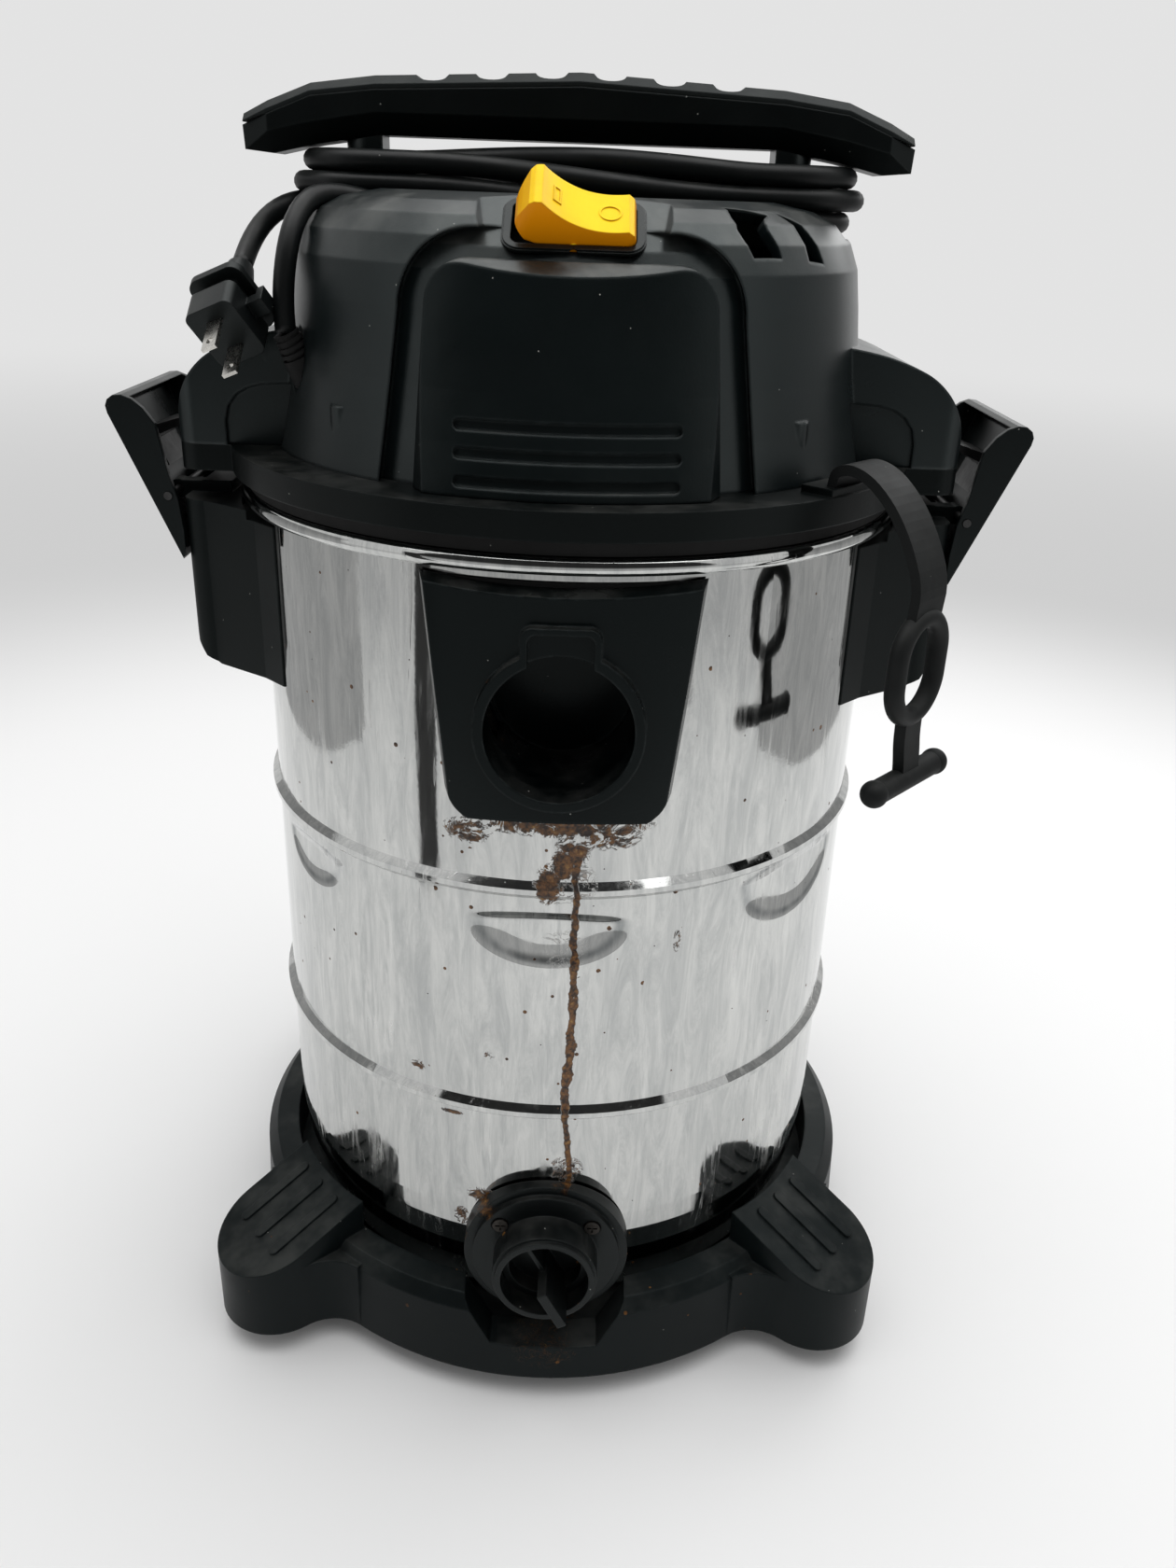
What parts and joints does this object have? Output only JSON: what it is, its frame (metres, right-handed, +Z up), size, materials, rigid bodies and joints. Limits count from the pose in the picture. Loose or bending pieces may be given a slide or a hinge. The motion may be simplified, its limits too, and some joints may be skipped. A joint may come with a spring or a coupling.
{
  "type": "shop vacuum",
  "caption": "Wet and dry shop vacuum: steel drum on a caster base, lift-off motor head with carry handle, side latches, hose port, drain plug and cord wound under the handle.",
  "frame": {"origin": "on the floor under the drum's axis", "axes": "+Z up along the drum's axis, +X to the right of someone who faces the hose port, -Y towards them, out of the hose port"},
  "size_m": [0.3924, 0.3378, 0.5692],
  "materials": {
    "drum_steel": "bright rolled stainless steel, scuffed",
    "base_plastic": "moulded black plastic, fine grain",
    "black_plastic": "moulded black plastic",
    "head_plastic": "moulded black plastic, satin",
    "caster_steel": "pressed steel",
    "wheel": "black plastic",
    "rubber": "soft black rubber",
    "steel": "plated steel",
    "yellow": "amber yellow, gloss",
    "cord_pvc": "black PVC, satin",
    "aluminium": "cast and pressed",
    "paper": "pleated filter paper",
    "white_plastic": "moulded"
  },
  "bodies": {
    "drum": {"drum": "drum_steel", "drum_front": "drum_steel", "drum_bottom": "drum_steel", "base": "base_plastic", "inlet_plate": "black_plastic", "inlet_gasket": "rubber", "inlet_deflector": "black_plastic", "drain_gasket": "rubber", "drain_spout": "black_plastic", "drain_screws": "steel", "bracket_l": "black_plastic", "bracket_r": "black_plastic", "bracket_rivets": "steel"},
    "drain_cap": {"drain_cap": "black_plastic"},
    "latch_l": {"latch_lever_l": "black_plastic", "latch_pin_l": "steel", "latch_hook_l": "steel"},
    "latch_r": {"latch_lever_r": "black_plastic", "latch_pin_r": "steel", "latch_hook_r": "steel"},
    "head": {"lid": "head_plastic", "head_seal": "rubber", "motor_cover": "head_plastic", "front_panel": "head_plastic", "blower_port": "black_plastic", "switch_body": "head_plastic", "switch_bezel": "head_plastic", "handle_posts": "head_plastic", "handle_body": "black_plastic", "handle_grip": "head_plastic", "handle_screws": "steel", "cord_gland": "rubber", "cord_lead": "cord_pvc", "cord_hank": "cord_pvc", "cord_tail": "cord_pvc", "plug": "cord_pvc", "plug_blades": "steel", "strap": "rubber", "cover_screws": "steel", "fan_housing": "aluminium", "motor": "aluminium", "filter_cage": "head_plastic"},
    "rocker": {"switch_rocker": "yellow"},
    "rotor": {"fan": "aluminium", "motor_shaft": "steel"},
    "filter": {"filter": "paper", "filter_nut": "black_plastic"},
    "float": {"float_ball": "white_plastic"},
    "caster_fl": {"caster_fork_fl": "caster_steel"},
    "wheel_fl": {"caster_wheel_fl": "wheel"},
    "caster_fr": {"caster_fork_fr": "caster_steel"},
    "wheel_fr": {"caster_wheel_fr": "wheel"},
    "caster_rr": {"caster_fork_rr": "caster_steel"},
    "wheel_rr": {"caster_wheel_rr": "wheel"},
    "caster_rl": {"caster_fork_rl": "caster_steel"},
    "wheel_rl": {"caster_wheel_rl": "wheel"}
  },
  "joints": [
    {"name": "head_lift", "type": "slide", "parent": "drum", "child": "head", "axis": [0, 0, 1], "range_m": [0, 0.26]},
    {"name": "latch_l_swing", "type": "hinge", "parent": "drum", "child": "latch_l", "pos_m": [-0.1736, 0, 0.401], "axis": [0, 1, 0], "range_deg": [0, 12]},
    {"name": "latch_r_swing", "type": "hinge", "parent": "drum", "child": "latch_r", "pos_m": [0.1736, 0, 0.401], "axis": [0, -1, 0], "range_deg": [0, 12]},
    {"name": "drain_cap_turn", "type": "hinge", "parent": "drum", "child": "drain_cap", "pos_m": [0, -0.155, 0.079], "axis": [0, -1, 0], "range_deg": [0, 90]},
    {"name": "switch_rock", "type": "hinge", "parent": "head", "child": "rocker", "pos_m": [0, -0.1, 0.5145], "axis": [0, -0.8192, -0.5736], "range_deg": [0, 38]},
    {"name": "motor_spin", "type": "hinge", "parent": "head", "child": "rotor", "pos_m": [0, 0, 0.445], "axis": [0, 0, 1], "continuous": true},
    {"name": "filter_slide", "type": "slide", "parent": "head", "child": "filter", "axis": [0, 0, -1], "range_m": [0, 0.135]},
    {"name": "float_rise", "type": "slide", "parent": "head", "child": "float", "axis": [0, 0, 1], "range_m": [0, 0.076]},
    {"name": "caster_fl_swivel", "type": "hinge", "parent": "drum", "child": "caster_fl", "pos_m": [-0.13482, -0.11313, 0.03], "axis": [0, 0, 1], "continuous": true},
    {"name": "wheel_fl_roll", "type": "hinge", "parent": "caster_fl", "child": "wheel_fl", "pos_m": [-0.13023, -0.10927, 0.012], "axis": [0.6428, -0.766, 0], "continuous": true},
    {"name": "caster_fr_swivel", "type": "hinge", "parent": "drum", "child": "caster_fr", "pos_m": [0.13482, -0.11313, 0.03], "axis": [0, 0, 1], "continuous": true},
    {"name": "wheel_fr_roll", "type": "hinge", "parent": "caster_fr", "child": "wheel_fr", "pos_m": [0.13023, -0.10927, 0.012], "axis": [0.6428, 0.766, 0], "continuous": true},
    {"name": "caster_rr_swivel", "type": "hinge", "parent": "drum", "child": "caster_rr", "pos_m": [0.11313, 0.13482, 0.03], "axis": [0, 0, 1], "continuous": true},
    {"name": "wheel_rr_roll", "type": "hinge", "parent": "caster_rr", "child": "wheel_rr", "pos_m": [0.10927, 0.13023, 0.012], "axis": [-0.766, 0.6428, 0], "continuous": true},
    {"name": "caster_rl_swivel", "type": "hinge", "parent": "drum", "child": "caster_rl", "pos_m": [-0.11313, 0.13482, 0.03], "axis": [0, 0, 1], "continuous": true},
    {"name": "wheel_rl_roll", "type": "hinge", "parent": "caster_rl", "child": "wheel_rl", "pos_m": [-0.10927, 0.13023, 0.012], "axis": [-0.766, -0.6428, 0], "continuous": true}
  ]
}
